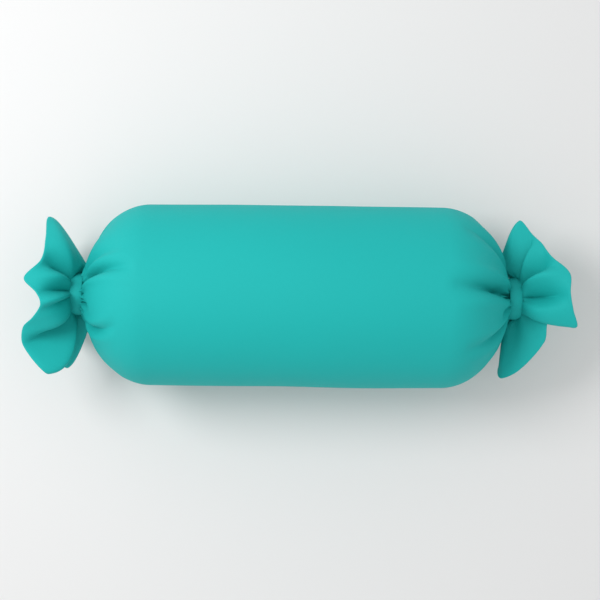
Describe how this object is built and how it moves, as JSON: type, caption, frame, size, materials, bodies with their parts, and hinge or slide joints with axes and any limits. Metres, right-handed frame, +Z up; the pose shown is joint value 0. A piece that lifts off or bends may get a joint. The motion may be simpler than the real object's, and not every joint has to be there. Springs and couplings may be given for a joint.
{
  "type": "bolster pillow",
  "caption": "Round bolster pillow with a zipped cloth cover, gathered like a wrapped sweet into a frill at each end, over a stuffed insert.",
  "frame": {"origin": "centre of the flat patch that the pillow rests on, halfway between its two necks", "axes": "+X along the pillow's length towards the end that the zip closes at, +Z up, +Y towards the side that the zip is on"},
  "size_m": [0.4618, 0.152, 0.147],
  "materials": {
    "teal_cloth": "matt woven cotton blend",
    "white_ticking": "matt plain-weave ticking",
    "white_fibre": "soft matt fibre",
    "white_elastic": "braided cord",
    "zip_tape": "matt herringbone tape",
    "zip_nylon": "satin nylon",
    "zip_metal": "nickel-plated, satin",
    "label_cloth": "satin-woven, blank"
  },
  "bodies": {
    "root": {"cover_body": "teal_cloth", "left_frill": "teal_cloth", "right_frill": "teal_cloth", "left_neck_band": "teal_cloth", "right_neck_band": "teal_cloth", "left_gather_elastic": "white_elastic", "right_gather_elastic": "white_elastic", "insert_tube": "white_ticking", "left_insert_end": "white_ticking", "right_insert_end": "white_ticking", "fibre_fill": "white_fibre", "zip_tape_upper": "zip_tape", "zip_tape_lower": "zip_tape", "zip_coil_upper": "zip_nylon", "zip_coil_lower": "zip_nylon", "zip_top_stop_upper": "zip_metal", "zip_top_stop_lower": "zip_metal", "zip_bottom_stop": "zip_metal", "care_label": "label_cloth"},
    "slider": {"zip_slider": "zip_metal"},
    "pull": {"zip_pull": "zip_metal"}
  },
  "joints": [
    {"name": "zip_slide", "type": "slide", "parent": "root", "child": "slider", "axis": [-1, 0, 0], "range_m": [0, 0.208]},
    {"name": "pull_hinge", "type": "hinge", "parent": "slider", "child": "pull", "pos_m": [0.1045, 0.05568, 0.01533], "axis": [0, -0.7071, -0.7071], "range_deg": [-88, 88]}
  ]
}
